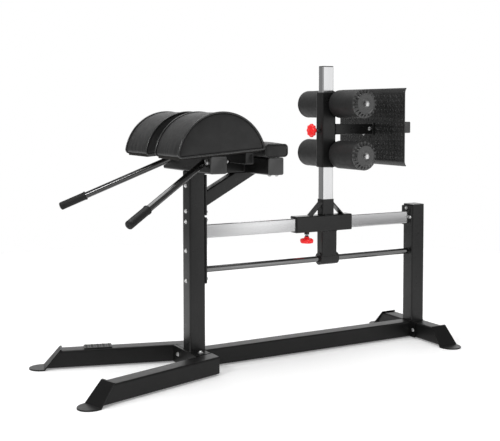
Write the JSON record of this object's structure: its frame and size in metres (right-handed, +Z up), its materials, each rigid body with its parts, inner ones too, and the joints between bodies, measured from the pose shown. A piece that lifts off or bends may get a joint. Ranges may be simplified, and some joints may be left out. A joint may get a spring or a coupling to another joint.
{
  "type": "roman chair",
  "caption": "Floor-standing glute and ham bench: split half-moon thigh pads, low side handles, and a sliding, height-adjustable carriage with ankle rollers and a foot plate.",
  "frame": {"origin": "centre of the footprint, on the floor", "axes": "+Z up; +X from the front feet and handles towards the ankle rollers and foot plate; +Y towards the user's right"},
  "size_m": [1.9094, 0.8476, 1.335],
  "materials": {
    "black_coat": "satin black powder coat",
    "chrome": "bright chrome plate",
    "black_plastic": "fine moulded texture",
    "black_leather": "fine grain, semi-gloss",
    "black_foam": "smooth closed-cell foam, matte",
    "black_rubber": "matte",
    "red_plastic": "glossy moulded",
    "plywood": "painted, matte"
  },
  "bodies": {
    "frame": {"base_beam": "black_coat", "front_crossmember": "black_coat", "front_leg_left": "black_coat", "front_leg_right": "black_coat", "front_foot_left": "black_coat", "front_foot_right": "black_coat", "rear_crossbar": "black_coat", "rear_foot_left": "black_coat", "rear_foot_right": "black_coat", "front_upright": "black_coat", "rear_upright": "black_coat", "rail_plate_front": "black_coat", "rail_plate_rear": "black_coat", "pad_crossbar_front": "black_coat", "pad_crossbar_rear": "black_coat", "pad_spine": "black_coat", "pad_brace": "black_coat", "pad_riser": "black_coat", "handle_left": "black_coat", "handle_right": "black_coat", "slide_rail": "chrome", "guide_bar": "chrome", "rear_upright_cap": "black_plastic", "crossbar_cap_front_left": "black_plastic", "crossbar_cap_front_right": "black_plastic", "crossbar_cap_rear_left": "black_plastic", "crossbar_cap_rear_right": "black_plastic", "thigh_pad_left": "black_leather", "thigh_pad_right": "black_leather", "rear_cushion": "black_leather", "tread_pad": "black_rubber", "grip_left": "black_rubber", "grip_right": "black_rubber", "pad_board_left": "plywood", "pad_board_right": "plywood"},
    "carriage": {"carriage_sleeve": "black_coat", "carriage_liner": "black_plastic", "post_socket": "black_coat", "guide_hanger": "black_coat", "guide_bush": "black_plastic", "post": "chrome", "post_cap": "black_plastic"},
    "roller_carriage": {"roller_sleeve": "black_coat", "roller_liner": "black_plastic", "foot_arm": "black_coat", "foot_plate": "black_coat", "foot_crosstube": "black_coat", "roller_axle_upper": "chrome", "roller_axle_lower": "chrome"},
    "carriage_pull_pin": {"carriage_pin": "red_plastic"},
    "roller_pull_pin": {"roller_pin": "red_plastic"},
    "upper_left_roller": {"foam_roller_upper_left": "black_foam", "roller_hub_upper_left": "black_plastic"},
    "upper_right_roller": {"foam_roller_upper_right": "black_foam", "roller_hub_upper_right": "black_plastic"},
    "lower_left_roller": {"foam_roller_lower_left": "black_foam", "roller_hub_lower_left": "black_plastic"},
    "lower_right_roller": {"foam_roller_lower_right": "black_foam", "roller_hub_lower_right": "black_plastic"}
  },
  "joints": [
    {"name": "carriage_slide", "type": "slide", "parent": "frame", "child": "carriage", "axis": [1, 0, 0], "range_m": [-0.2, 0.3]},
    {"name": "roller_height", "type": "slide", "parent": "carriage", "child": "roller_carriage", "axis": [0, 0, 1], "range_m": [-0.14, 0.11]},
    {"name": "carriage_pin_pull", "type": "slide", "parent": "carriage", "child": "carriage_pull_pin", "axis": [0, 0, -1], "range_m": [0, 0.011], "stiffness_N_per_m": 600, "springref_m": -0.01},
    {"name": "roller_pin_pull", "type": "slide", "parent": "roller_carriage", "child": "roller_pull_pin", "axis": [-1, 0, 0], "range_m": [0, 0.011], "stiffness_N_per_m": 600, "springref_m": -0.01},
    {"name": "upper_left_roller_spin", "type": "hinge", "parent": "roller_carriage", "child": "upper_left_roller", "pos_m": [0.42971, 0, 1.158], "axis": [0, 1, 0], "continuous": true},
    {"name": "upper_right_roller_spin", "type": "hinge", "parent": "roller_carriage", "child": "upper_right_roller", "pos_m": [0.42971, 0, 1.158], "axis": [0, 1, 0], "continuous": true},
    {"name": "lower_left_roller_spin", "type": "hinge", "parent": "roller_carriage", "child": "lower_left_roller", "pos_m": [0.42971, 0, 0.922], "axis": [0, 1, 0], "continuous": true},
    {"name": "lower_right_roller_spin", "type": "hinge", "parent": "roller_carriage", "child": "lower_right_roller", "pos_m": [0.42971, 0, 0.922], "axis": [0, 1, 0], "continuous": true}
  ]
}
